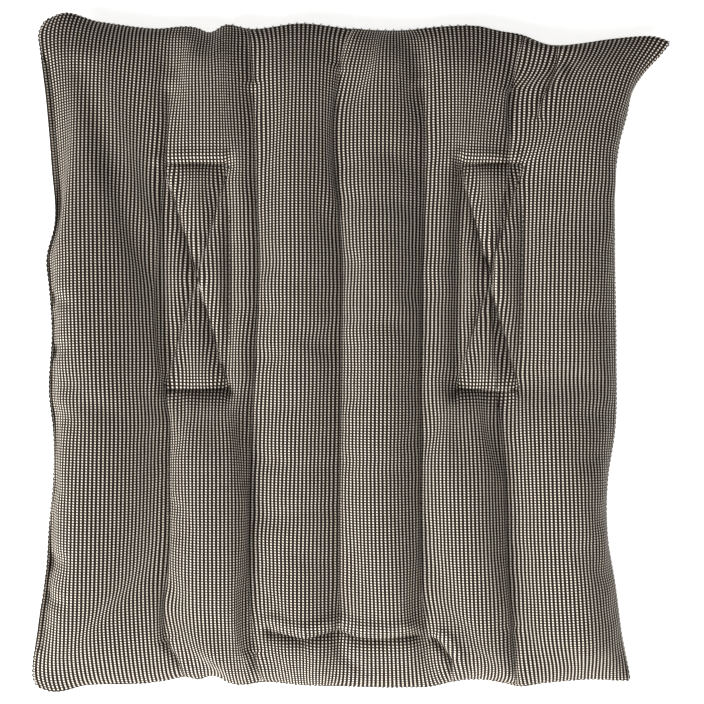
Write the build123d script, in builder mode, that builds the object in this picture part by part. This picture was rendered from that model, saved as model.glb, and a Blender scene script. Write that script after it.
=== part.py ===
"""Channel-quilted seat pad for a chair, in millimetres.

Two panels of woven cotton are sewn together round the edge, filled with two layers of polyester
wadding, and stitched through in five rows that make six channels. Two strips of loop tape are sewn
to the underside, each with a box and a cross that go through the whole pad.

X runs across the channels, Y from the front edge to the back edge, Z up. The pad lies on Z = 0,
where the underside of each channel is pressed flat.
"""

import os
from math import atan2, degrees, hypot, radians, tan

from build123d import *

# Overall size, the plane of the edge seam, and the cloth
pad_width = 476.0
pad_depth = 504.0
edge_seam_z = 17.0
fabric_thickness = 0.8
fit_clearance = 0.1

# Channels: the rows of stitching that part them, how far each channel stands above the edge seam,
# and how much each would hang below Z = 0 if nothing pressed it flat
row_positions = [-136.0, -72.0, -8.0, 52.0, 116.0]
channel_rises = [21.5, 18.5, 18.0, 18.0, 18.5, 21.0]
channel_flattening = [5.5, 3.0, 3.0, 2.5, 3.0, 5.0]
stitched_half_thickness = 1.8
row_land_width = 2.4
row_front_end = 42.0
row_back_end = 54.0

# Sewing thread
thread_width = 1.0
thread_height = 0.5

# At the edge the turned seam lies between the covers, with its stitching on it
edge_half_thickness = 2 * fabric_thickness + thread_height

# Seam allowance turned in along the whole edge, and the gap that is closed by hand
allowance_width = 10.0
edge_stitch_inset = 3.0
closing_gap_length = 180.0
closing_stitch_length = 4.0
closing_stitch_pitch = 6.0

# Strips of loop tape under the pad, and the stitching that holds them
tape_width = 50.0
tape_length = 170.0
tape_back_gap = 111.5
tape_base_thickness = 1.0
tape_pile_thickness = 1.2
tape_selvedge = 3.0
tape_centres_x = {"left": -115.0, "right": 102.0}
box_stitch_inset = 1.0
pocket_margin = 2.0
pocket_slope = 25.0

half_depth = pad_depth / 2
row_front_y = -half_depth + row_front_end
row_back_y = half_depth - row_back_end
tape_centre_y = half_depth - tape_back_gap - tape_length / 2
top_land_z = edge_seam_z + stitched_half_thickness
bottom_land_z = edge_seam_z - stitched_half_thickness

# Cross-sections from front to back: how far the left and right edges lie inside the overall width,
# the share of the full height, and how nearly the rows are pulled in to their stitched thickness.
# They stand at distances from the front edge, at shares of the depth, and at distances from the
# back edge.
front_sections = [
    (0.0, 10.0, 35.0, 0.14, 0.0),
    (4.0, 3.0, 32.0, 0.34, 0.05),
    (11.0, 0.0, 32.0, 0.58, 0.2),
    (24.0, 1.0, 34.0, 0.80, 0.5),
    (row_front_end, 3.0, 37.0, 0.94, 1.0),
]
middle_sections = [
    (0.163, 7.0, 42.0, 1.0, 1.0),
    (0.28, 13.0, 48.0, 1.0, 1.0),
    (0.54, 12.0, 42.0, 1.0, 1.0),
    (0.74, 12.0, 40.0, 1.0, 1.0),
    (0.845, 9.0, 33.0, 1.0, 1.0),
]
back_sections = [
    (row_back_end, 7.0, 25.0, 0.94, 1.0),
    (28.0, 5.0, 9.0, 0.80, 0.5),
    (13.0, 4.0, 0.0, 0.58, 0.2),
    (5.0, 4.0, 0.0, 0.34, 0.05),
    (0.0, 10.0, 8.0, 0.14, 0.0),
]
sections = (
    [(-half_depth + gap, *rest) for gap, *rest in front_sections]
    + [(-half_depth + share * pad_depth, *rest) for share, *rest in middle_sections]
    + [(half_depth - gap, *rest) for gap, *rest in back_sections]
)


def half_section(section, inset, upper):
    """Half of the pad's cross-section, drawn that far inside the outer face of the cloth."""
    y, left_gap, right_gap, share, stitched = section
    up = 1 if upper else -1
    y = max(-half_depth + inset, min(half_depth - inset, y))
    edges = [
        -pad_width / 2 + left_gap + inset,
        *row_positions,
        pad_width / 2 - right_gap - inset,
    ]
    if upper:
        crests = [rise * share - inset for rise in channel_rises]
    else:
        crests = [(edge_seam_z + flat) * share - inset for flat in channel_flattening]
    land = row_land_width / 2 + inset / 2
    valleys = [edge_half_thickness - inset]
    for crest, next_crest in zip(crests, crests[1:]):
        loose = 0.9 * min(crest, next_crest)
        valleys.append(loose + stitched * (stitched_half_thickness - inset - loose))
    valleys.append(edge_half_thickness - inset)
    with BuildSketch(Plane.XZ.offset(-y)) as profile:
        with BuildLine():
            for channel, crest in enumerate(crests):
                start_x = edges[channel] + (land if channel > 0 else 0)
                end_x = edges[channel + 1] - (land if channel < len(crests) - 1 else 0)
                end_z = edge_seam_z + up * valleys[channel + 1]
                ThreePointArc(
                    (start_x, edge_seam_z + up * valleys[channel]),
                    ((start_x + end_x) / 2, edge_seam_z + up * crest),
                    (end_x, end_z),
                )
                if channel < len(crests) - 1:
                    Line((end_x, end_z), (end_x + 2 * land, end_z))
            Polyline(
                (edges[-1], edge_seam_z + up * valleys[-1]),
                (edges[-1], edge_seam_z),
                (edges[0], edge_seam_z),
                (edges[0], edge_seam_z + up * valleys[0]),
            )
        make_face()
    return profile.sketch


def half_pad(inset, upper):
    """Upper or lower half of the filled pad, that far inside the outer face of the cloth."""
    up = 1 if upper else -1
    pocket_growth = pocket_margin + inset * tan(radians(45 - pocket_slope / 2))
    pocket_floor = edge_seam_z + up * (stitched_half_thickness - inset)
    with BuildPart() as half:
        for section in sections:
            add(half_section(section, inset, upper))
        loft(ruled=True)
        if not upper:
            split(bisect_by=Plane.XY.offset(inset), keep=Keep.TOP)
        for centre_x in tape_centres_x.values():
            pocket_plane = Plane((centre_x, tape_centre_y, pocket_floor), z_dir=(0, 0, up))
            with BuildSketch(pocket_plane):
                Rectangle(tape_width + 2 * pocket_growth, tape_length + 2 * pocket_growth)
            extrude(amount=max(channel_rises) + edge_seam_z, taper=-pocket_slope, mode=Mode.SUBTRACT)
    return half.part


def edge_ring(outer_inset, inner_inset, bottom, top):
    """A flat ring that follows the pad's outline, between two insets and two heights."""
    left = [(-pad_width / 2 + left_gap, y) for y, left_gap, *_ in sections]
    right = [(pad_width / 2 - right_gap, y) for y, _, right_gap, *_ in sections]
    with BuildPart() as ring:
        for inset, mode in ((outer_inset, Mode.ADD), (inner_inset, Mode.SUBTRACT)):
            with BuildSketch(Plane.XY.offset(bottom)):
                with BuildLine():
                    Polyline(*left, *reversed(right), close=True)
                make_face()
                if inset > 0:
                    offset(amount=-inset, kind=Kind.INTERSECTION)
            extrude(amount=top - bottom, mode=mode)
    return ring.part


def cover(upper):
    """One panel of cloth with its seam allowance turned in along the whole edge."""
    low, high = (0, fabric_thickness) if upper else (-fabric_thickness, 0)
    outside = half_pad(0, upper)
    with BuildPart() as allowance:
        add(edge_ring(0, allowance_width, edge_seam_z + low, edge_seam_z + high))
        add(outside, mode=Mode.INTERSECT)
    with BuildPart() as panel:
        add(outside)
        add(half_pad(fabric_thickness, upper), mode=Mode.SUBTRACT)
        add(allowance.part)
    return panel.part


def wadding_layer(upper):
    """One layer of wadding, cut back round the turned seam and its stitching."""
    seam_height = fabric_thickness + thread_height + fit_clearance
    low, high = (0, seam_height) if upper else (-seam_height, 0)
    with BuildPart() as layer:
        add(half_pad(fabric_thickness + fit_clearance, upper))
        add(
            edge_ring(0, allowance_width + fit_clearance, edge_seam_z + low, edge_seam_z + high),
            mode=Mode.SUBTRACT,
        )
    return layer.part


def box_and_cross(centre_x, bottom, height):
    """A stitched rectangle with both diagonals, lying flat at that height."""
    box_width = tape_width - 2 * box_stitch_inset
    box_length = tape_length - 2 * box_stitch_inset
    diagonal_angle = degrees(atan2(box_length, box_width))
    with BuildPart() as stitching:
        with BuildSketch(Plane((centre_x, tape_centre_y, bottom))):
            Rectangle(box_width + thread_width, box_length + thread_width)
            Rectangle(box_width - thread_width, box_length - thread_width, mode=Mode.SUBTRACT)
            for angle in (diagonal_angle, -diagonal_angle):
                Rectangle(hypot(box_width, box_length), thread_width, rotation=angle)
        extrude(amount=height)
    return stitching.part


# Covers
with BuildPart() as top_cover:
    add(cover(upper=True))

with BuildPart() as bottom_cover:
    add(cover(upper=False))

# Wadding, one layer in each half, quilted through so that it thins out at the rows and boxes
with BuildPart() as wadding_upper:
    add(wadding_layer(upper=True))

with BuildPart() as wadding_lower:
    add(wadding_layer(upper=False))

# Stitching round the edge, on both faces of the turned seam, open along the gap at the back
seam_thread_levels = [
    edge_seam_z + fabric_thickness,
    edge_seam_z - fabric_thickness - thread_height,
]
edge_stitch_y = half_depth - edge_stitch_inset
with BuildPart() as edge_seam:
    for level in seam_thread_levels:
        add(
            edge_ring(
                edge_stitch_inset - thread_width / 2,
                edge_stitch_inset + thread_width / 2,
                level,
                level + thread_height,
            )
        )
        with BuildSketch(Plane((0, edge_stitch_y, level))):
            Rectangle(closing_gap_length, 2 * thread_width)
        extrude(amount=thread_height, mode=Mode.SUBTRACT)

# Hand stitches that close the gap once the cover is turned and filled
closing_stitch_count = int(closing_gap_length / closing_stitch_pitch)
with BuildPart() as closing_seam:
    for level in seam_thread_levels:
        with BuildSketch(Plane((0, edge_stitch_y, level))):
            with GridLocations(closing_stitch_pitch, 0, closing_stitch_count, 1):
                Rectangle(closing_stitch_length, thread_width)
        extrude(amount=thread_height)

# Box-and-cross stitching, over the top cover and under each strip of tape
tape_face_z = bottom_land_z - tape_base_thickness
box_stitches = {}
for side, centre_x in tape_centres_x.items():
    with BuildPart() as box_stitch:
        add(box_and_cross(centre_x, top_land_z, thread_height))
        add(box_and_cross(centre_x, tape_face_z - thread_height, thread_height))
    box_stitches[side] = box_stitch

# Rows of quilting, needle thread on top and bobbin thread underneath, crossed by the boxes
row_length = row_back_y - row_front_y
row_centre_y = (row_back_y + row_front_y) / 2
channel_seams = []
for row_x in row_positions:
    with BuildPart() as channel_seam:
        for level in (top_land_z, bottom_land_z - thread_height):
            with BuildSketch(Plane((row_x, row_centre_y, level))):
                Rectangle(thread_width, row_length)
            extrude(amount=thread_height)
        for box_stitch in box_stitches.values():
            add(box_stitch.part, mode=Mode.SUBTRACT)
    channel_seams.append(channel_seam)

# Loop tape: a woven base with a raised pile, which the box and cross press down along their lines
tapes = {}
for side, centre_x in tape_centres_x.items():
    with BuildPart() as tape:
        with BuildSketch(Plane((centre_x, tape_centre_y, tape_face_z))):
            Rectangle(tape_width, tape_length)
        extrude(amount=tape_base_thickness)
        with BuildSketch(Plane((centre_x, tape_centre_y, tape_face_z - tape_pile_thickness))):
            Rectangle(tape_width - 2 * tape_selvedge, tape_length - 2 * tape_selvedge)
        extrude(amount=tape_pile_thickness)
        add(
            box_and_cross(centre_x, tape_face_z - tape_pile_thickness, tape_pile_thickness),
            mode=Mode.SUBTRACT,
        )
        for channel_seam in channel_seams:
            add(channel_seam.part, mode=Mode.SUBTRACT)
    tapes[side] = tape

pieces = {
    "top_cover": top_cover,
    "bottom_cover": bottom_cover,
    "wadding_upper": wadding_upper,
    "wadding_lower": wadding_lower,
    "edge_seam": edge_seam,
    "closing_seam": closing_seam,
}
for number, channel_seam in enumerate(channel_seams, start=1):
    pieces[f"channel_seam_{number}"] = channel_seam
for side in tape_centres_x:
    pieces[f"loop_tape_{side}"] = tapes[side]
    pieces[f"box_stitch_{side}"] = box_stitches[side]

os.makedirs("parts", exist_ok=True)
for name, piece in pieces.items():
    piece.part.label = name
    export_step(piece.part, f"parts/{name}.step")
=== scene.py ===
from math import pi, sin, cos

import bpy
import numpy as np
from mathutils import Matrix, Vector


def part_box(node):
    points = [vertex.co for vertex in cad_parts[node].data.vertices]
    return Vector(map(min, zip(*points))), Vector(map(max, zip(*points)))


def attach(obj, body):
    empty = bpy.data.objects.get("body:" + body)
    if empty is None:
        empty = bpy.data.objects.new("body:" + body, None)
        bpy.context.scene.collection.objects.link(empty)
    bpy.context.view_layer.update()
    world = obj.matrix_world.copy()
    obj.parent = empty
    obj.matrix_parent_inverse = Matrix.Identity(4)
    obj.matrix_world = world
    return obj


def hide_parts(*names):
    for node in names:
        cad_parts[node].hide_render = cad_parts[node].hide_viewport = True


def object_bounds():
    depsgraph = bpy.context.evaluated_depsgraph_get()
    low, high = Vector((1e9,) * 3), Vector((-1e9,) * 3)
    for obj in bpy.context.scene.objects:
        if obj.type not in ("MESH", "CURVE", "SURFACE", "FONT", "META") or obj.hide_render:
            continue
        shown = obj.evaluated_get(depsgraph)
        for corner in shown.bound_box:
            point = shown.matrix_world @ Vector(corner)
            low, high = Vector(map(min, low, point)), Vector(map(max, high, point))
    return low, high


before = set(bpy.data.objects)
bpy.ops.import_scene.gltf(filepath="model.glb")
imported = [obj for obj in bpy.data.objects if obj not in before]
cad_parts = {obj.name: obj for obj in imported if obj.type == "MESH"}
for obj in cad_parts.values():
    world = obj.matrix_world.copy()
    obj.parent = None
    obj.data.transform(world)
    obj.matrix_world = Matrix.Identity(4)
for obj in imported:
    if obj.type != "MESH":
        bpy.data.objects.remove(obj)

cad_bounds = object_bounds()

# The room: the pad lies on white paper that is lit a little from below, under a broad soft light low on
# the left, a smaller one at the front and a weak light all round. A long lens looks straight down.
MM = 0.001
(left_x, front_y, floor_z), (right_x, back_y, _) = cad_bounds

camera_height = 1470 * MM
camera_data = bpy.data.cameras.new("long_lens")
camera_data.lens = 100
camera_data.sensor_width = 36
camera = bpy.data.objects.new("camera", camera_data)
camera.location = (0, 0, camera_height)
bpy.context.collection.objects.link(camera)
bpy.context.scene.camera = camera


def node(tree, kind, inputs=None, **settings):
    """Adds a shader node, sets its properties, and fills or links its inputs."""
    made = tree.nodes.new(kind)
    for name, value in settings.items():
        setattr(made, name, value)
    for name, value in (inputs or {}).items():
        if isinstance(value, bpy.types.NodeSocket):
            tree.links.new(value, made.inputs[name])
        else:
            made.inputs[name].default_value = value
    return made


def colour(code):
    """An sRGB hex colour as linear red, green, blue and alpha."""
    parts = [int(code[n:n + 2], 16) / 255 for n in (1, 3, 5)]
    return [p / 12.92 if p <= 0.04045 else ((p + 0.055) / 1.055) ** 2.4 for p in parts] + [1.0]


def material(name):
    """A new material, its node tree and its main shader."""
    made = bpy.data.materials.new(name)
    made.use_nodes = True
    return made, made.node_tree, made.node_tree.nodes["Principled BSDF"]


floor_reach = 20
floor_corners = [(x * floor_reach, y * floor_reach, 0) for x, y in ((-1, -1), (1, -1), (1, 1), (-1, 1))]
floor_mesh = bpy.data.meshes.new("floor")
floor_mesh.from_pydata(floor_corners, [], [(0, 1, 2, 3)])
floor = bpy.data.objects.new("floor", floor_mesh)
bpy.context.collection.objects.link(floor)
# Matt paper: no gloss, and bright enough from below that the pad's shadow almost vanishes
paper, _, paper_shader = material("white paper, lit through")
paper_shader.inputs["Base Color"].default_value = colour("#F4F4F2")
paper_shader.inputs["Roughness"].default_value = 0.9
paper_shader.inputs["Emission Color"].default_value = colour("#FFFFFF")
paper_shader.inputs["Emission Strength"].default_value = 0.7
floor_mesh.materials.append(paper)

world = bpy.data.worlds.new("studio")
bpy.context.scene.world = world
world.use_nodes = True
world.node_tree.nodes["Background"].inputs["Color"].default_value = colour("#FFFFFF")
world.node_tree.nodes["Background"].inputs["Strength"].default_value = 0.29


def softbox(name, place, width, strength):
    """A square soft light at a place, in metres, facing the middle of the pad."""
    data = bpy.data.lights.new(name, "AREA")
    data.size = width
    data.energy = strength
    lamp = bpy.data.objects.new(name, data)
    lamp.location = place
    lamp.rotation_euler = (-Vector(place)).to_track_quat("-Z", "Y").to_euler()
    bpy.context.collection.objects.link(lamp)


softbox("key", (-1.4, -1.15, 1.0), 0.9, 54)
softbox("front", (0.1, -0.85, 0.7), 0.6, 7)
bpy.context.scene.view_settings.view_transform = "Standard"


# The two covers are panels of cotton canvas cut square, sewn together inside out round the edge, turned
# and drawn in by the filling. Their laid shape follows the CAD model's edges and rows with the small
# wander that soft cloth has: each list gives millimetres along the pad and inwards or to the right.
half_edge_seam = 1.3 * MM
seam_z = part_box("edge_seam")[0][2] + half_edge_seam
sewn_level = 1.2 * MM
flat_row_u = np.array([-149.0, -68.0, 5.5, 78.7, 156.7]) * MM
flat_width = 506 * MM
flat_length = 508 * MM
cell = 4.6 * MM

left_insets = [(-249, 4), (-243, 1), (-233, 0), (-203, 3), (-159, 9), (-127, 11), (-96, 14), (-58, 14),
               (-32, 11), (17, 13), (47, 11), (69, 9), (94, 15), (138, 13), (186, 9), (225, 5),
               (238, 5), (247, 10)]
right_insets = [(-244, 31), (-210, 36), (-171, 41), (-141, 46), (-126, 47), (-93, 46), (-60, 41),
                (0, 40), (78, 41), (138, 40), (158, 37), (176, 32), (197, 27), (209, 19), (220, 9),
                (230, 1)]
back_insets = [(-228, 5), (-219, 0), (-189, 4), (-147, 9), (-114, 9), (-107, 12), (-94, 6), (-78, 9),
               (-37, 5), (0, 9), (39, 10), (72, 7), (94, 7), (111, 11), (124, 13), (151, 22),
               (174, 20), (192, 17), (210, 16), (228, 18), (237, 22)]
front_insets = [(-234, 3), (-228, 0), (-198, 2), (-146, 4), (-129, 7), (-123, 8), (-116, 6),
                (-102, 9), (-91, 3), (-80, 2), (-69, 4), (-60, 4), (-41, 2), (-9, 1), (36, 0),
                (60, 1), (73, 4), (93, 6), (115, 3), (123, 1), (141, 3), (175, 6), (207, 8)]
row_wanders = [
    [(-246, 5), (-214, -2), (-189, -5), (-172, -2), (-74, 1), (-44, 1), (-29, -3), (139, -3),
     (198, 1), (243, 4)],
    [(-247, 6), (-221, -1), (-199, -3), (1, 0), (62, 3), (114, 1), (198, -2), (243, -6)],
    [(-250, -5), (-204, -2), (-111, -1), (62, 1), (208, -1), (242, 11)],
    [(-249, 12), (-208, 3), (-74, -1), (39, -1), (201, 0), (242, -5)],
    [(-250, 7), (-215, 4), (-197, 2), (-163, -1), (-111, -2), (-59, -5), (-31, -9), (91, -8),
     (140, 1), (196, 1), (237, 16)],
]
row_ends = [(-214, 198), (-221, 198), (-204, 208), (-208, 201), (-215, 196)]
row_boxes = [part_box(f"channel_seam_{number}") for number in range(1, 6)]


def through(points, at):
    """A smooth line through (place, value) points in millimetres, read at places in metres."""
    place, value = np.array(points, float).T * MM
    slope = np.gradient(value, place)
    at = np.clip(at, place[0], place[-1])
    after = np.clip(np.searchsorted(place, at, side="right"), 1, len(place) - 1)
    before = after - 1
    gap = place[after] - place[before]
    t = (at - place[before]) / gap
    return (
        (2 * t**3 - 3 * t**2 + 1) * value[before]
        + (t**3 - 2 * t**2 + t) * gap * slope[before]
        + (3 * t**2 - 2 * t**3) * value[after]
        + (t**3 - t**2) * gap * slope[after]
    )


def guide_x(number, y):
    """X of a line that runs from front to back: 0 the left edge, 1 to 5 the rows, 6 the right edge."""
    if number == 0:
        return left_x + through(left_insets, y)
    if number == 6:
        return right_x - through(right_insets, y)
    low, high = row_boxes[number - 1]
    return (low[0] + high[0]) / 2 + through(row_wanders[number - 1], y)


def spaced(stops):
    """Places along a panel that include every stop, with near-even cells between them."""
    places = [stops[0]]
    for start, end in zip(stops, stops[1:]):
        count = max(1, round((end - start) / cell))
        places += [start + (end - start) * step / count for step in range(1, count + 1)]
    return np.array(places)


def eased(x):
    """From 0 to 1 with a soft start and end, as x goes from 0 to 1."""
    x = np.clip(x, 0, 1)
    return x * x * (3 - 2 * x)


half_u, half_v = flat_width / 2, flat_length / 2
box_flat_sides = {"left": (-149.0 * MM, -93.0 * MM), "right": (112.0 * MM, 174.0 * MM)}
box_lean = {"left": 0.0, "right": 1.75 * MM}
half_stitch = 0.5 * MM
box_places = {}
for side in ("left", "right"):
    low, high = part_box(f"box_stitch_{side}")
    box_places[side] = (low[0] + half_stitch, high[0] - half_stitch,
                        low[1] + half_stitch, high[1] - half_stitch)
box_front_y, box_back_y = box_places["left"][2:]

# The cloth is a little longer than the laid pad, since the rows of stitching gather it
laid_front, laid_back = front_y + 4 * MM, back_y - 13 * MM
gather = flat_length / (laid_back - laid_front)
box_front_v = (box_front_y - laid_front) * gather - half_v
box_back_v = (box_back_y - laid_front) * gather - half_v

columns = spaced([-half_u, *flat_row_u[:1], box_flat_sides["left"][1], *flat_row_u[1:4],
                  box_flat_sides["right"][0], flat_row_u[4], box_flat_sides["right"][1], half_u])
rows = spaced([-half_v, box_front_v, box_back_v, half_v])
flat_u, flat_v = np.meshgrid(columns, rows)

guide_u = np.array([-half_u, *flat_row_u, half_u])
near_front, near_back = front_y + 6 * MM, back_y - 8 * MM
box_pull_fades = 25 * MM


def laid(u, v):
    """Where a point of the flat cut lies once the pad is made up, before it is filled."""
    front_x = np.interp(u, guide_u, [guide_x(n, near_front) for n in range(7)])
    back_x = np.interp(u, guide_u, [guide_x(n, near_back) for n in range(7)])
    start = front_y + through(front_insets, front_x)
    end = back_y - through(back_insets, back_x)
    y = np.where(
        v < box_front_v,
        start + (v + half_v) / (box_front_v + half_v) * (box_front_y - start),
        np.where(
            v > box_back_v,
            end + (v - half_v) / (box_back_v - half_v) * (box_back_y - end),
            box_front_y + (v - box_front_v) / (box_back_v - box_front_v) * (box_back_y - box_front_y),
        ),
    )
    x = np.zeros_like(y)
    guides = np.array([guide_x(n, y) for n in range(7)])
    for n in range(6):
        part = (u - guide_u[n]) / (guide_u[n + 1] - guide_u[n])
        here = (part >= 0) & (part <= 1)
        x = np.where(here, guides[n] + part * (guides[n + 1] - guides[n]), x)
    for side, (u_low, u_high) in box_flat_sides.items():
        x_low, x_high, y_low, y_high = box_places[side]
        lean = box_lean[side] * (y - (y_low + y_high) / 2) / ((y_high - y_low) / 2)
        near = eased(1 - np.maximum(y_low - y, y - y_high) / box_pull_fades)
        before = guides[0] if side == "left" else guides[4]
        after = guides[2] if side == "left" else guides[6]
        u_before = guide_u[0] if side == "left" else guide_u[4]
        u_after = guide_u[2] if side == "left" else guide_u[6]
        inside = (u - u_low) / (u_high - u_low)
        boxed = np.where(
            inside < 0,
            before + (u - u_before) / (u_low - u_before) * (x_low + lean - before),
            np.where(
                inside > 1,
                x_high + lean + (u - u_high) / (u_after - u_high) * (after - x_high - lean),
                x_low + lean + inside * (x_high - x_low),
            ),
        )
        here = (u > u_before) & (u < u_after)
        x = np.where(here, x + near * (boxed - x), x)
    return x, y


# The grid's points lie exactly on each cross of the box stitching, so that the cloth creases there
pinned = np.zeros(flat_u.shape, bool)
taped = np.zeros(flat_u.shape, bool)
for side, (u_low, u_high) in box_flat_sides.items():
    for j in range(len(rows)):
        along = (rows[j] - box_front_v) / (box_back_v - box_front_v)
        if not -1e-6 <= along <= 1 + 1e-6:
            continue
        inner = np.where((columns >= u_low - 1e-6) & (columns <= u_high + 1e-6))[0]
        taped[j, inner] = True
        pinned[j, inner[0]] = pinned[j, inner[-1]] = True
        if along < 1e-6 or along > 1 - 1e-6:
            pinned[j, inner] = True
            continue
        used = set()
        for share in (along, 1 - along):
            target = u_low + share * (u_high - u_low)
            nearest = inner[np.argmin(abs(columns[inner] - target))]
            if nearest in used or nearest in (inner[0], inner[-1]):
                continue
            used.add(nearest)
            flat_u[j, nearest] = target
            pinned[j, nearest] = True

laid_x, laid_y = laid(flat_u, flat_v)
for number, (row_front, row_back) in enumerate(row_ends):
    column = np.argmin(abs(columns - flat_row_u[number]))
    stitched = (laid_y[:, column] > row_front * MM) & (laid_y[:, column] < row_back * MM)
    in_box = (laid_y[:, column] > box_front_y - 1e-6) & (laid_y[:, column] < box_back_y + 1e-6)
    if number == 4:
        stitched &= ~in_box
    pinned[stitched, column] = True
edge = np.zeros(flat_u.shape, bool)
edge[0], edge[-1], edge[:, 0], edge[:, -1] = True, True, True, True

# The edge seam rolls up on to the top at the left, and under at the right and along both ends. Each
# edge moves in and up by so many millimetres, less towards its corners.
roll_fades = 40 * MM
side_slope, end_slope = 14 * MM, 30 * MM
from_end = np.minimum(flat_v + half_v, half_v - flat_v)
from_side = np.minimum(flat_u + half_u, half_u - flat_u)
edge_x, edge_y, edge_z = laid_x.copy(), laid_y.copy(), np.full(flat_u.shape, seam_z)
side_roll = eased(from_end / roll_fades)
end_roll = eased(from_side / roll_fades)
for line, place, inwards, upwards, roll in (
    (np.s_[:, 0], edge_x, 3, 6, side_roll),
    (np.s_[:, -1], edge_x, -1, -6, side_roll),
    (np.s_[0], edge_y, 2, -5, end_roll),
    (np.s_[-1], edge_y, -2, -5, end_roll),
):
    place[line] += inwards * MM * roll[line]
    edge_z[line] += upwards * MM * roll[line]


def grid_mesh(name, points, upward):
    """A panel's mesh from its grid of points, with its flat cut kept as the UV map 'cloth'."""
    height, width = points.shape[:2]
    corner = np.arange(height * width).reshape(height, width)
    quads = np.stack([corner[:-1, :-1], corner[:-1, 1:], corner[1:, 1:], corner[1:, :-1]], -1)
    quads = quads.reshape(-1, 4)
    if not upward:
        quads = quads[:, ::-1]
    mesh = bpy.data.meshes.new(name)
    mesh.from_pydata(points.reshape(-1, 3).tolist(), [], quads.tolist())
    flat = np.stack([flat_u, flat_v], -1).reshape(-1, 2)
    layer = mesh.uv_layers.new(name="cloth")
    layer.data.foreach_set("uv", flat[quads.reshape(-1)].astype(np.float32).reshape(-1))
    panel = bpy.data.objects.new(name, mesh)
    bpy.context.collection.objects.link(panel)
    return panel


def arches(up):
    """How far a panel stands off its stitching: each span arched until its arc is as long as its cut."""
    height = np.zeros(flat_u.shape)
    fixed = pinned | (taped if up < 0 else False)
    row_columns = [np.argmin(abs(columns - u)) for u in flat_row_u]
    for j in range(len(rows)):
        stops = set(np.where(fixed[j])[0]) | {0, len(columns) - 1}
        if not taped[j].any():
            stops |= set(row_columns)
        else:
            stops |= set(row_columns[:4])
        stops = sorted(stops)
        for a, b in zip(stops, stops[1:]):
            chord = laid_x[j, b] - laid_x[j, a]
            slack = max((flat_u[j, b] - flat_u[j, a]) / chord - 1, 0.02)
            part = (laid_x[j, a:b + 1] - laid_x[j, a]) / chord
            height[j, a:b + 1] = chord * (3 / 8 * slack) ** 0.5 * 4 * part * (1 - part)
    height *= eased(from_end / end_slope)
    for _ in range(4):
        between = (height[:-2] + height[2:]) / 2
        height[1:-1] = np.where(fixed[1:-1], height[1:-1], (height[1:-1] + between) / 2)
    return height


settling_frames = 30


def filled_panel(name, up):
    """One cover panel, held at its edge and its stitching and blown up by the filling behind it."""
    z = seam_z + up * (sewn_level + arches(up))
    points = np.stack([laid_x, laid_y, z], -1)
    points[edge] = np.stack([edge_x, edge_y, edge_z], -1)[edge]
    panel = grid_mesh(name, points, up > 0)
    panel.shape_key_add(name="laid")
    cut = panel.shape_key_add(name="cut")
    flat = np.stack([flat_u, flat_v, np.zeros_like(flat_u)], -1)
    cut.data.foreach_set("co", flat.astype(np.float32).reshape(-1))
    held = panel.vertex_groups.new(name="held")
    held_points = pinned | edge | (taped if up < 0 else False)
    held.add([int(i) for i in np.where(held_points.reshape(-1))[0]], 1.0, "REPLACE")
    # The cloth reads its cut lengths only when another modifier stands before it; this one splits nothing
    before_cloth = panel.modifiers.new("no_split", "EDGE_SPLIT")
    before_cloth.use_edge_angle = before_cloth.use_edge_sharp = False
    cloth = panel.modifiers.new("filling", "CLOTH")
    s = cloth.settings
    s.quality = 7
    s.mass = 0.3
    s.air_damping = 4
    s.tension_stiffness = 40
    s.compression_stiffness = 40
    s.shear_stiffness = 12
    s.bending_stiffness = 1.0
    s.tension_damping = s.compression_damping = s.shear_damping = 10
    s.bending_damping = 1
    s.vertex_group_mass = "held"
    s.rest_shape_key = cut
    s.use_pressure = True
    s.uniform_pressure_force = 100
    s.effector_weights.gravity = 0.0
    cloth.collision_settings.use_collision = False
    cloth.point_cache.frame_start = 1
    cloth.point_cache.frame_end = settling_frames
    return panel


panels = {"top_cover": filled_panel("cover_top", 1), "bottom_cover": filled_panel("cover_bottom", -1)}
for frame_number in range(1, settling_frames + 1):
    bpy.context.scene.frame_set(frame_number)


def settled_points(panel):
    """The simulated grid of points, with the panel's shape keys and cloth taken away."""
    shown = panel.evaluated_get(bpy.context.evaluated_depsgraph_get())
    points = np.empty(flat_u.size * 3, np.float32)
    shown.data.vertices.foreach_get("co", points)
    bpy.data.objects.remove(panel)
    return points.reshape(*flat_u.shape, 3).astype(float)


top_points = settled_points(panels["top_cover"])
bottom_points = settled_points(panels["bottom_cover"])


def supported(points, up):
    """The wadding behind the cloth doesn't let it sink under half the height of its arch."""
    least = sewn_level + 0.5 * arches(up)
    height = (points[..., 2] - seam_z) * up
    soft = 1.5 * MM
    raised = least + soft * np.logaddexp(0, (height - least) / soft)
    points[..., 2] = np.where(edge | pinned | (taped & (up < 0)), points[..., 2], seam_z + up * raised)


def smoothed(points, fixed, times=4):
    """Soft wadding and starched cloth don't show the finest crumples of the simulation."""
    for _ in range(times):
        around = (points[:-2, 1:-1] + points[2:, 1:-1] + points[1:-1, :-2] + points[1:-1, 2:]) / 4
        free = ~fixed[1:-1, 1:-1, None]
        points[1:-1, 1:-1] += free * 0.5 * (around - points[1:-1, 1:-1])


supported(top_points, 1)
supported(bottom_points, -1)
smoothed(top_points, pinned)
smoothed(bottom_points, pinned | taped)

# Packed wadding stands up steeply from each row of stitching and is nearly flat on top
crown, fullness = 22 * MM, 0.72
rise = np.clip(top_points[..., 2] - seam_z - sewn_level, 0, None)
full = (crown - sewn_level) * (rise / (crown - sewn_level)) ** fullness
inland = eased(from_side / side_slope) * eased(from_end / end_slope)

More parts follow.
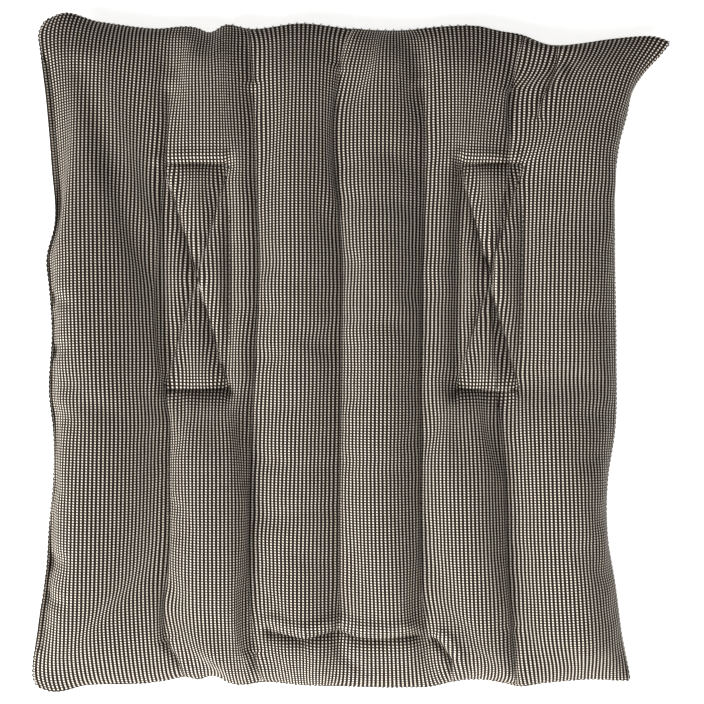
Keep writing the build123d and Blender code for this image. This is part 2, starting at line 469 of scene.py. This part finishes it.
# In the two outer channels it has shifted outwards, so that they slope down to their rows
left_shift, right_shift = 0.3, 0.35
left_part = np.clip((flat_u + half_u) / (flat_row_u[0] + half_u), 0, 1)
right_part = np.clip((half_u - flat_u) / (half_u - flat_row_u[4]), 0, 1)
shifted = 1 + np.where(left_part < 1, left_shift * np.cos(pi * left_part), 0)
shifted += np.where(right_part < 1, right_shift * np.cos(pi * right_part), 0)
settled = rise + inland * (full * shifted - rise)
top_points[..., 2] += np.where(edge | pinned, 0, settled - rise)
bottom_points[..., 2] = np.maximum(bottom_points[..., 2], floor_z + 0.2 * MM)


# The sewing leaves folds in the top cover: tucks where each row of stitching ends short of the edge, a
# deep one beside the drawn-out corner, and small gathers along the sides. The cloth also folds over
# every line of stitching, and has a groove beside the rolled seam at the left.

# Each tuck is a path in millimetres, the depth and width of its groove, the height of the lip beside
# it, which is negative to the left of the path, and the share of the path over which its end fades
tucks = [
    ([(-133, 242), (-134, 222), (-135, 199)], 3, 7, 0, 0.3),
    ([(-106, 243), (-110, 236), (-115, 238), (-123, 240)], 4, 3, 0, 0.5),
    ([(-77, 244), (-75, 222), (-73, 198)], 6, 4, 0, 0.1),
    ([(3, 245), (-5, 228), (-10, 210)], 6, 4, 0, 0.1),
    ([(43, 244), (49, 222), (52, 200)], 4, 8, 0, 0.2),
    ([(129, 239), (122, 215), (118, 192)], 6, 5, 0, 0.1),
    ([(112, 243), (114, 228)], 3, 3.5, 0, 0.7),
    ([(153, 233), (152, 214), (148, 200), (141, 188), (136, 170)], 10, 3.5, -3, 0.6),
    ([(160, 231), (159, 214), (164, 200)], 3, 4, 0, 0.6),
    ([(-123, -245), (-130, -226), (-136, -217), (-138, -212)], 6, 3.5, -2, 0.1),
    ([(-102, -244), (-108, -234)], 4, 3, 0, 0.6),
    ([(-64, -249), (-71, -234), (-72, -221)], 6, 3.5, -2, 0.1),
    ([(-60, -206), (-47, -210), (-35, -212), (-22, -209), (-10, -206), (3, -211), (21, -212), (40, -210),
      (56, -209)], 6, 4.5, -2.5, 0.1),
    ([(3, -233), (-7, -226), (-10, -206)], 4, 4, 0, 0.1),
    ([(-15, -246), (-17, -231)], 2, 3, 0, 0.6),
    ([(75, -248), (74, -228), (67, -217), (58, -210)], 8, 4, 3, 0.1),
    ([(123, -251), (121, -226), (118, -202)], 7, 4, 0, 0.1),
    ([(205, -193), (183, -198)], 4, 5, 0, 0.7),
    ([(-199, 205), (-182, 155), (-165, 108)], 3, 10, 0, 0.4),
    ([(-224, 41), (-200, 34)], 5, 5, 0, 0.7),
    ([(-224, 0), (-203, 5)], 5, 5, 0, 0.7),
    ([(-226, -157), (-204, -148)], 5, 5, 0, 0.7),
    ([(-228, -180), (-205, -188)], 5, 5, 0, 0.7),
]
box_back_tuck = (0, 3.5, -3.5, 0.05)
rolled_seam_tuck = (5, 2.2, 0, 0.03)
rolled_seam, rolled_seam_ends = 6.5 * MM, (-218, 226)

# A lip lies a little outside its groove, and both need room between the cloth and its stitching
lip_offset, lip_width = 1.8, 0.8
stitched_height, open_height = 0.5 * MM, 8 * MM

# How far the cloth is drawn over each kind of stitching, in millimetres, over what width, and how
# quickly that starts from the ends of the line
deep_tuck = 6
tuck_draw, row_draw = 1.8, 2.2
box_front_draw, box_back_draw, cross_draw = 3.4, 2.4, 2.2
beside_thread, fold_width = 1.5 * MM, 7 * MM
fold_starts = 12

# Beside the box stitching the cloth rises at this slope, and more steeply further away
box_slope, box_curve = 1.2, 60


def distance_to(points, path):
    """How far points lie from a path in plan, on which side, 1 right or -1 left, how far along, and the
    way from each point to the path."""
    path = np.array(path, float) * MM
    lengths = np.linalg.norm(np.diff(path, axis=0), axis=1)
    before = np.concatenate([[0], np.cumsum(lengths)])
    nearest = np.full(points.shape[:-1], np.inf)
    side = np.zeros(points.shape[:-1])
    share = np.zeros(points.shape[:-1])
    toward = np.zeros(points.shape[:-1] + (2,))
    for start, end, length, reached in zip(path, path[1:], lengths, before):
        run = (end - start) / length
        offset = points[..., :2] - start
        along = np.clip(offset @ run, 0, length)
        away = offset - along[..., None] * run
        distance = np.hypot(away[..., 0], away[..., 1])
        closer = distance < nearest
        side = np.where(closer, np.sign(offset[..., 0] * run[1] - offset[..., 1] * run[0]), side)
        share = np.where(closer, (reached + along) / before[-1], share)
        toward = np.where(closer[..., None], -away, toward)
        nearest = np.minimum(distance, nearest)
    return nearest, side, share, toward


def press_tuck(points, path, depth, width, lip, fade):
    """Presses one groove into the cloth, with the fold that lies beside it."""
    distance, side, share, _ = distance_to(points, path)
    part = distance / (width * MM)
    strength = eased((1 - share) / fade)
    groove = np.exp(-part ** 2)
    ridge = np.exp(-((part - lip_offset) / lip_width) ** 2) * (side * lip > 0)
    room = eased((points[..., 2] - seam_z - stitched_height) / open_height)
    points[..., 2] += strength * (abs(lip) * ridge * room - depth * groove * room) * MM


def fold_over(points, path, reach):
    """Draws the cloth in from both sides of a line of stitching, so that it folds over the thread."""
    distance, _, share, toward = distance_to(points, path)
    near_end = eased(np.minimum(share, 1 - share) * fold_starts)
    pull = reach * MM * near_end * (1 - np.exp(-distance / beside_thread))
    pull *= np.exp(-(distance / fold_width) ** 2)
    points[..., :2] += toward / np.maximum(distance, 1e-9)[..., None] * pull[..., None]


def creased(points):
    """The top cover's points with its tucks pressed in and the crossed box stitching pulled down."""
    for path, depth, width, lip, fade in tucks:
        press_tuck(points, path, depth, width, lip, fade)
        if depth >= deep_tuck:
            fold_over(points, path, tuck_draw)
    y = np.linspace(*rolled_seam_ends, 60) * MM
    press_tuck(points, np.stack([guide_x(0, y) + rolled_seam, y], -1) / MM, *rolled_seam_tuck)
    for side, (x_low, x_high, y_low, y_high) in box_places.items():
        lean = box_lean[side]
        a, b = (x_low - lean, y_low), (x_high - lean, y_low)
        c, d = (x_high + lean, y_high), (x_low + lean, y_high)
        press_tuck(points, np.array([d, c]) / MM, *box_back_tuck)
        for path in ([a, b], [b, c], [c, d], [d, a], [a, c], [b, d]):
            distance = distance_to(points, np.array(path) / MM)[0]
            limit = seam_z + sewn_level + box_slope * distance + box_curve * distance ** 2
            points[..., 2] = np.minimum(points[..., 2], limit)
        for path, reach in (
            ([a, b], box_front_draw),
            ([c, d], box_back_draw),
            ([a, c], cross_draw),
            ([b, d], cross_draw),
        ):
            fold_over(points, np.array(path) / MM, reach)
    for number, (row_front, row_back) in enumerate(row_ends, start=1):
        y = np.linspace(row_front, row_back, 24) * MM
        fold_over(points, np.stack([guide_x(number, y), y], -1) / MM, row_draw)
    return points


# The covers' cloth is matt plain-woven cotton canvas: ivory and dark-brown warp ends by turns, 1.5 mm
# apart, with a dark weft at 1 mm. Each ivory end shows as a row of short dashes where it passes over
# the weft, and the twist of its yarn makes each dash lean. Single fibres are too fine to be drawn.
end_pair = 3.0 * MM
pick_pair = 2.0 * MM
twist_lean = 0.25
end_wander = 0.3 * MM
wanders_per_metre = 60
slubs_per_metre = (700, 60, 1)
yarn_height = 0.12 * MM


def woven_cotton():
    made, tree, shader = material("cotton canvas, plain woven")
    flat = node(tree, "ShaderNodeUVMap", uv_map="cloth").outputs["UV"]
    wander = node(tree, "ShaderNodeTexNoise", {"Vector": flat, "Scale": wanders_per_metre, "Detail": 1})
    wander = node(tree, "ShaderNodeVectorMath", {0: wander.outputs["Color"], 1: (0.5, 0.5, 0.5)},
                  operation="SUBTRACT")
    wander = node(tree, "ShaderNodeVectorMath", {0: wander.outputs[0], "Scale": end_wander},
                  operation="SCALE")
    thread_place = node(tree, "ShaderNodeVectorMath", {0: flat, 1: wander.outputs[0]}, operation="ADD")
    place = node(tree, "ShaderNodeSeparateXYZ", {0: thread_place.outputs[0]})
    turns = node(tree, "ShaderNodeMath", {0: place.outputs["X"], 1: 1 / end_pair}, operation="MULTIPLY")
    wave_x = node(tree, "ShaderNodeMath", {0: turns.outputs[0], 1: 2 * pi}, operation="MULTIPLY")
    across = node(tree, "ShaderNodeMath", {0: wave_x.outputs[0]}, operation="COSINE").outputs[0]
    shifted = node(tree, "ShaderNodeMath", {0: turns.outputs[0], 1: 0.5}, operation="ADD")
    in_pair = node(tree, "ShaderNodeMath", {0: shifted.outputs[0]}, operation="FRACT")
    leaning = node(tree, "ShaderNodeMath", {0: in_pair.outputs[0], 1: twist_lean * end_pair,
                                            2: place.outputs["Y"]}, operation="MULTIPLY_ADD")
    wave_y = node(tree, "ShaderNodeMath", {0: leaning.outputs[0], 1: 2 * pi / pick_pair},
                  operation="MULTIPLY")
    along = node(tree, "ShaderNodeMath", {0: wave_y.outputs[0]}, operation="COSINE").outputs[0]
    end = node(tree, "ShaderNodeMapRange", {0: across, 1: 0.1, 2: 0.65}, interpolation_type="SMOOTHSTEP")
    over = node(tree, "ShaderNodeMapRange", {0: along, 1: -0.3, 2: 0.05}, interpolation_type="SMOOTHSTEP")
    dash = node(tree, "ShaderNodeMath", {0: end.outputs[0], 1: over.outputs[0]}, operation="MULTIPLY")
    stretched = node(tree, "ShaderNodeMapping", {"Vector": flat, "Scale": slubs_per_metre})
    slub = node(tree, "ShaderNodeTexNoise", {"Vector": stretched.outputs[0], "Scale": 1, "Detail": 2})
    ivory = node(tree, "ShaderNodeMix", {0: slub.outputs["Fac"], 6: colour("#E6D8C6"),
                                         7: colour("#FFF8EC")}, data_type="RGBA")
    brown_over = node(tree, "ShaderNodeMapRange", {0: along, 1: -0.5, 2: 0.6, 3: 1.0, 4: 0.0},
                       interpolation_type="SMOOTHSTEP")
    ground = node(tree, "ShaderNodeMix", {0: brown_over.outputs[0], 6: colour("#120B07"),
                                          7: colour("#2A1F18")}, data_type="RGBA")
    weave = node(tree, "ShaderNodeMix", {0: dash.outputs[0], 6: ground.outputs[2], 7: ivory.outputs[2]},
                 data_type="RGBA")
    tree.links.new(weave.outputs[2], shader.inputs["Base Color"])
    product = node(tree, "ShaderNodeMath", {0: across, 1: along}, operation="MULTIPLY")
    bump = node(tree, "ShaderNodeBump", {"Height": product.outputs[0], "Strength": 0.5,
                                         "Distance": yarn_height})
    tree.links.new(bump.outputs[0], shader.inputs["Normal"])
    shader.inputs["Roughness"].default_value = 0.88
    shader.inputs["Specular IOR Level"].default_value = 0.15
    shader.inputs["Sheen Weight"].default_value = 0.03
    shader.inputs["Sheen Roughness"].default_value = 0.5
    return made


cloth_material = woven_cotton()
cloth_thickness = 0.7 * MM


def cover(name, node_name, points, upward):
    """A finished cover panel: its settled grid, rounded between the threads and given thickness."""
    panel = grid_mesh(name, points, upward)
    panel.data.materials.append(cloth_material)
    held = np.append(np.where(pinned.reshape(-1))[0], -1)
    crease = panel.data.attributes.new("crease_edge", "FLOAT", "EDGE")
    ends = np.empty(len(panel.data.edges) * 2, int)
    panel.data.edges.foreach_get("vertices", ends)
    sewn = np.isin(ends.reshape(-1, 2), held).all(1)
    crease.data.foreach_set("value", np.where(sewn, 0.8, 0.0).astype(np.float32))
    panel.data.polygons.foreach_set("use_smooth", np.ones(len(panel.data.polygons), bool))
    rounding = panel.modifiers.new("rounding", "SUBSURF")
    rounding.levels = rounding.render_levels = 1
    fine = bpy.data.meshes.new_from_object(panel.evaluated_get(bpy.context.evaluated_depsgraph_get()))
    panel.modifiers.clear()
    panel.data = fine
    if upward:
        places = np.empty(len(fine.vertices) * 3, np.float32)
        fine.vertices.foreach_get("co", places)
        places = creased(places.reshape(-1, 3).astype(float))
        fine.vertices.foreach_set("co", places.astype(np.float32).reshape(-1))
        fine.update()
    thick = panel.modifiers.new("thickness", "SOLIDIFY")
    thick.thickness = cloth_thickness
    thick.offset = -1
    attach(panel, "root")
    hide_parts(node_name)


cover("top_cover_cloth", "top_cover", top_points, True)
cover("bottom_cover_cloth", "bottom_cover", bottom_points, False)


# The filling is two layers of white carded polyester wadding, quilted through with the covers, so that
# it is lofty in the channels and pressed flat along every line of stitching. It is matt, and its
# fibres, far too fine to show, are drawn as tufts about 1 mm across.
wadding_clearance = cloth_thickness + 0.3 * MM
wadding_gap = 0.1 * MM
pressed_height = 0.24 * MM
inside_seam = np.s_[3:-3, 3:-3]


def behind(points, up, reach=2):
    """The face of the filling behind a cover: smoother than the cloth, and never in front of it."""
    def windows(values, radius):
        wide = np.pad(values, radius, mode="edge")
        return np.lib.stride_tricks.sliding_window_view(wide, (2 * radius + 1, 2 * radius + 1))
    face = np.stack([windows(points[..., axis], 1).mean((2, 3)) for axis in range(3)], -1)
    height = windows(windows(points[..., 2] * up, reach).min((2, 3)), 1).mean((2, 3))
    face[..., 2] = up * (height - wadding_clearance)
    return face


def fibre_wadding():
    made, tree, shader = material("polyester wadding, carded fibre")
    place = node(tree, "ShaderNodeTexCoord").outputs["Object"]
    fibres = node(tree, "ShaderNodeTexNoise", {"Vector": place, "Scale": 900, "Detail": 6,
                                               "Distortion": 2.5})
    tint = node(tree, "ShaderNodeMix", {0: fibres.outputs["Fac"], 6: colour("#D9D9D4"),
                                        7: colour("#F6F6F3")}, data_type="RGBA")
    tree.links.new(tint.outputs[2], shader.inputs["Base Color"])
    bump = node(tree, "ShaderNodeBump", {"Height": fibres.outputs["Fac"], "Strength": 0.8,
                                         "Distance": 0.6 * MM})
    tree.links.new(bump.outputs[0], shader.inputs["Normal"])
    shader.inputs["Roughness"].default_value = 0.95
    shader.inputs["Sheen Weight"].default_value = 0.3
    return made


wadding_material = fibre_wadding()


def wadding(name, node_name, above, below, upper):
    """A closed layer of wadding between two grids of points, cut back from the edge seam."""
    above, below = above[inside_seam].copy(), below[inside_seam].copy()
    thin = (above[..., 2] - below[..., 2]) < pressed_height
    if upper:
        below[thin] = above[thin] - np.array([0, 0, pressed_height])
    else:
        above[thin] = below[thin] + np.array([0, 0, pressed_height])
    height, width = above.shape[:2]
    index = np.arange(height * width).reshape(height, width)
    lower = index + height * width
    faces = []
    for sheet, turned in ((index, False), (lower, True)):
        quads = np.stack([sheet[:-1, :-1], sheet[:-1, 1:], sheet[1:, 1:], sheet[1:, :-1]], -1)
        quads = quads.reshape(-1, 4)
        faces += (quads[:, ::-1] if turned else quads).tolist()
    rim = [*index[0], *index[1:, -1], *index[-1, -2::-1], *index[-2:0:-1, 0]]
    for start, end in zip(rim, rim[1:] + rim[:1]):
        faces.append([int(end), int(start), int(start) + height * width, int(end) + height * width])
    mesh = bpy.data.meshes.new(name)
    mesh.from_pydata(np.concatenate([above.reshape(-1, 3), below.reshape(-1, 3)]).tolist(), [], faces)
    mesh.polygons.foreach_set("use_smooth", np.ones(len(faces), bool))
    mesh.materials.append(wadding_material)
    layer = bpy.data.objects.new(name, mesh)
    bpy.context.collection.objects.link(layer)
    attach(layer, "root")
    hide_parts(node_name)


inner_top = behind(creased(top_points.copy()), 1)
inner_bottom = behind(bottom_points, -1)
middle_points = (inner_top + inner_bottom) / 2
half_gap = np.array([0, 0, wadding_gap / 2])
wadding("wadding_layer_upper", "wadding_upper", inner_top, middle_points + half_gap, True)
wadding("wadding_layer_lower", "wadding_lower", middle_points - half_gap, inner_bottom, False)


# Every seam is sewn with dark-brown polyester thread, twisted so that it looks ribbed every 0.7 mm and
# a little shiny, in stitches 3.2 mm long that dip into the cloth at both ends, with the bobbin thread
# below. It is drawn 0.64 mm thick, at the heavy end, so that it shows.
stitch_pitch = 3.6 * MM
stitch_length = 3.2 * MM
thread_radius = 0.32 * MM
stitch_sides, stitch_rings = 6, 5


def twisted_thread():
    made, tree, shader = material("polyester thread, twisted")
    place = node(tree, "ShaderNodeTexCoord").outputs["Object"]
    ply = node(tree, "ShaderNodeTexWave", {"Vector": place, "Scale": 900, "Distortion": 1.0},
               bands_direction="DIAGONAL")
    tint = node(tree, "ShaderNodeMix", {0: ply.outputs["Fac"], 6: colour("#17110E"),
                                        7: colour("#3A2D26")}, data_type="RGBA")
    tree.links.new(tint.outputs[2], shader.inputs["Base Color"])
    bump = node(tree, "ShaderNodeBump", {"Height": ply.outputs["Fac"], "Strength": 0.5,
                                         "Distance": 0.05 * MM})
    tree.links.new(bump.outputs[0], shader.inputs["Normal"])
    shader.inputs["Roughness"].default_value = 0.55
    return made


thread_material = twisted_thread()


def stitch_path(path):
    """Points along each stitch, from end to end, on a path of points."""
    path = np.asarray(path, float)
    reach = np.concatenate([[0], np.cumsum(np.linalg.norm(np.diff(path, axis=0), axis=1))])
    count = int(reach[-1] / stitch_pitch)
    first = (reach[-1] - count * stitch_pitch + stitch_pitch - stitch_length) / 2
    starts = first + np.arange(count) * stitch_pitch
    spots = starts[:, None] + np.linspace(0, stitch_length, stitch_rings)[None, :]
    return np.stack([np.interp(spots, reach, path[:, n]) for n in range(3)], -1)


def stitching(name, node_names, runs):
    """One object of separate stitches: each run is a path and the direction that its thread shows in."""
    vertices, faces = [], []
    turn = np.arange(stitch_sides) * 2 * pi / stitch_sides
    swell = np.array([0.45, 0.9, 1.0, 0.9, 0.45])
    dip = np.array([-1.6, 0.2, 0.7, 0.2, -1.6]) * thread_radius
    for path, out in runs:
        for centres in stitch_path(path):
            forward = centres[-1] - centres[0]
            forward /= np.linalg.norm(forward)
            side = np.cross(forward, out)
            side /= np.linalg.norm(side)
            rise = np.cross(side, forward)
            first = len(vertices)
            for centre, width, lift in zip(centres, swell, dip):
                for angle in turn:
                    spoke = cos(angle) * side + sin(angle) * rise
                    vertices.append(centre + rise * lift + spoke * thread_radius * width)
            for ring in range(stitch_rings - 1):
                for n in range(stitch_sides):
                    near = first + ring * stitch_sides
                    after = (n + 1) % stitch_sides
                    faces.append([near + n, near + stitch_sides + n, near + stitch_sides + after,
                                  near + after])
            last = first + (stitch_rings - 1) * stitch_sides
            faces.append([first + n for n in range(stitch_sides)])
            faces.append([last + n for n in reversed(range(stitch_sides))])
    mesh = bpy.data.meshes.new(name)
    mesh.from_pydata(vertices, [], faces)
    mesh.polygons.foreach_set("use_smooth", np.ones(len(faces), bool))
    mesh.materials.append(thread_material)
    sewn = bpy.data.objects.new(name, mesh)
    bpy.context.collection.objects.link(sewn)
    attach(sewn, "root")
    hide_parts(*node_names)


for number, u in enumerate(flat_row_u, start=1):
    column = np.argmin(abs(columns - u))
    runs = []
    for points, up in ((top_points, (0, 0, 1)), (bottom_points, (0, 0, -1))):
        sewn = np.where(pinned[:, column])[0]
        for stretch in np.split(sewn, np.where(np.diff(sewn) > 1)[0] + 1):
            if len(stretch) > 1:
                runs.append((points[stretch, column], up))
    stitching(f"quilting_row_{number}", [f"channel_seam_{number}"], runs)

tape_back_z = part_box("loop_tape_left")[1][2]
tape_base = 1.0 * MM
tape_base_z = tape_back_z - tape_base
bobbin_z = tape_base_z - 0.1 * MM

for side, (x_low, x_high, y_low, y_high) in box_places.items():
    lean = box_lean[side]
    corners = [(x_low - lean, y_low), (x_high - lean, y_low),
               (x_high + lean, y_high), (x_low + lean, y_high)]
    runs = []
    for z, out in ((seam_z + sewn_level, (0, 0, 1)), (bobbin_z, (0, 0, -1))):
        a, b, c, d = [np.array([x, y, z]) for x, y in corners]
        for path in ([a, b], [b, c], [c, d], [d, a], [a, c], [b, d]):
            runs.append((path, out))
    stitching(f"box_and_cross_{side}", [f"box_stitch_{side}"], runs)


# The covers are lockstitched together inside out, all round but for a gap at the middle of the back.
# Turned out, the thread shows only as short bars in the groove where the two cloths meet.
gap_half = (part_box("closing_seam")[1][0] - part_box("closing_seam")[0][0]) / 2
back_line = top_points[-1]
after_gap = back_line[back_line[:, 0] > gap_half]
before_gap = back_line[back_line[:, 0] < -gap_half]
edge_runs = [
    (after_gap, (0, 1, 0)),
    (top_points[::-1, -1], (1, 0, 0)),
    (top_points[0, ::-1], (0, -1, 0)),
    (top_points[:, 0], (-1, 0, 0)),
    (before_gap, (0, 1, 0)),
]
stitching("edge_lockstitches", ["edge_seam"], edge_runs)


# The gap that the filling went in through is closed by hand, with slanting whip stitches of the same
# thread laid over the fold where the two covers meet.
whip_pitch = 6.0 * MM
whip_reach = 2.2 * MM
whip_slant = 2.4 * MM
whip_stand, whip_arch, whip_dip = 0.35 * MM, 0.3 * MM, 0.9 * MM
whips = []
for n in range(int(2 * gap_half / whip_pitch) + 1):
    x = -gap_half + n * whip_pitch
    y, z = [np.interp(x, back_line[:, 0], back_line[:, axis]) for axis in (1, 2)]
    bend = np.linspace(-1, 1, 9)
    outward = whip_stand + whip_arch * (1 - bend ** 2)
    path = np.stack([x + bend * whip_slant / 2, y + outward - whip_dip * bend ** 2,
                     z + bend * whip_reach], -1)
    whips.append((path, (0, 1, 0)))
stitching("hand_whip_stitches", ["closing_seam"], whips)


# Two loop tapes sewn under the pad hold it to hook tape on the seat: a dense woven polyester base with
# a fine rib, bare and matt along both selvedges, and a pile of glossier nylon loops knitted through
# it. The loops are drawn 1.7 mm apart and thicker than they are, as coarse as they need to show.
loop_pitch = 1.7 * MM
loop_height = 1.2 * MM
loop_thickness = 0.16 * MM
loop_radius = 0.6 * MM
loop_rings, loop_sides = 6, 4
selvedge = 3 * MM
pile_ends = 2 * MM
edge_soft = 0.35 * MM
cut_end, sewn_gap = 0.2 * MM, 0.05 * MM
base_rows, base_columns = 86, 22
tape_random = np.random.default_rng(7)


def tape_weave():
    made, tree, shader = material("polyester tape, woven")
    place = node(tree, "ShaderNodeTexCoord").outputs["Object"]
    spread = node(tree, "ShaderNodeMapping", {"Vector": place,
                                              "Scale": (1 / (1.2 * MM), 1 / (0.7 * MM), 1)})
    checks = node(tree, "ShaderNodeTexChecker", {"Vector": spread.outputs[0], "Scale": 1.0})
    cloud = node(tree, "ShaderNodeTexNoise", {"Vector": place, "Scale": 120, "Detail": 3})
    tint = node(tree, "ShaderNodeMix", {0: cloud.outputs["Fac"], 6: colour("#1E1A18"),
                                        7: colour("#332D2A")}, data_type="RGBA")
    tree.links.new(tint.outputs[2], shader.inputs["Base Color"])
    bump = node(tree, "ShaderNodeBump", {"Height": checks.outputs["Fac"], "Strength": 0.5,
                                         "Distance": 0.15 * MM})
    tree.links.new(bump.outputs[0], shader.inputs["Normal"])
    shader.inputs["Roughness"].default_value = 0.7
    shader.inputs["Sheen Weight"].default_value = 0.1
    return made


def loop_pile():
    made, tree, shader = material("nylon loops, knitted")
    place = node(tree, "ShaderNodeTexCoord").outputs["Object"]
    cloud = node(tree, "ShaderNodeTexNoise", {"Vector": place, "Scale": 260, "Detail": 3})
    tint = node(tree, "ShaderNodeMix", {0: cloud.outputs["Fac"], 6: colour("#2A2522"),
                                        7: colour("#4A423D")}, data_type="RGBA")
    tree.links.new(tint.outputs[2], shader.inputs["Base Color"])
    shader.inputs["Roughness"].default_value = 0.45
    return made


tape_material, loop_material = tape_weave(), loop_pile()


def tape(side):
    """One tape: its woven base, with the selvedges' edges rounded off, and its pile of separate loops."""
    low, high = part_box(f"loop_tape_{side}")
    vertices, faces, kinds = [], [], []
    along = np.linspace(low[1] + cut_end, high[1] - cut_end, base_rows)
    across = np.linspace(low[0], high[0], base_columns)
    for z, turned in ((tape_back_z - sewn_gap, False), (tape_base_z, True)):
        first = len(vertices)
        for y in along:
            for x in across:
                inset = edge_soft if x in (across[0], across[-1]) else 0
                vertices.append((x, y, z + (inset if turned else -inset)))
        for j in range(len(along) - 1):
            for i in range(len(across) - 1):
                a = first + j * len(across) + i
                quad = [a, a + 1, a + 1 + len(across), a + len(across)]
                faces.append(quad[::-1] if turned else quad)
                kinds.append(0)
    layer = len(along) * len(across)
    rim = [
        *range(len(across)),
        *range(2 * len(across) - 1, layer, len(across)),
        *range(layer - 2, layer - len(across) - 1, -1),
        *range(layer - 2 * len(across), 0, -len(across)),
    ]
    for start, end in zip(rim, rim[1:] + rim[:1]):
        faces.append([end, start, start + layer, end + layer])
        kinds.append(0)
    arc = np.linspace(0, pi, loop_rings)
    ring = np.arange(loop_sides) * pi / 2
    loop_rows = int((high[1] - low[1] - 2 * pile_ends) / loop_pitch)
    loop_columns = int((high[0] - low[0] - 2 * selvedge) / loop_pitch)
    for j in range(loop_rows):
        for i in range(loop_columns):
            turn, lean_x, lean_y, size = tape_random.uniform((0, -0.5, -0.5, 0.8), (pi, 0.5, 0.5, 1.1))
            centre = np.array([low[0] + selvedge + (i + 0.5 + 0.25 * (j % 2)) * loop_pitch,
                               low[1] + pile_ends + (j + 0.5) * loop_pitch, tape_base_z + 0.1 * MM])
            flat_way = np.array([cos(turn), sin(turn), 0])
            rise_way = np.array([lean_x, lean_y, -1.0])
            rise_way /= np.linalg.norm(rise_way)
            across_way = np.cross(flat_way, rise_way)
            first = len(vertices)
            for angle in arc:
                spine = centre + flat_way * cos(angle) * loop_radius * size
                spine = spine + rise_way * sin(angle) * (loop_height - loop_thickness) * size * 0.9
                outward = flat_way * cos(angle) + rise_way * sin(angle)
                for spoke in ring:
                    round_way = outward * cos(spoke) + across_way * sin(spoke)
                    vertices.append(spine + loop_thickness * round_way)
            for n in range(loop_rings - 1):
                start = first + loop_sides * n
                for m in range(loop_sides):
                    a, b = start + m, start + (m + 1) % loop_sides
                    faces.append([a, b, b + loop_sides, a + loop_sides])
                    kinds.append(1)
            last = first + loop_sides * (loop_rings - 1)
            faces.append([first + m for m in reversed(range(loop_sides))])
            faces.append([last + m for m in range(loop_sides)])
            kinds += [1, 1]
    mesh = bpy.data.meshes.new(f"sewn_loop_tape_{side}")
    mesh.from_pydata([tuple(v) for v in vertices], [], faces)
    mesh.materials.append(tape_material)
    mesh.materials.append(loop_material)
    mesh.polygons.foreach_set("material_index", kinds)
    mesh.polygons.foreach_set("use_smooth", np.array(kinds, bool))
    strip = bpy.data.objects.new(mesh.name, mesh)
    bpy.context.collection.objects.link(strip)
    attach(strip, "root")
    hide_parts(f"loop_tape_{side}")


for side in box_places:
    tape(side)
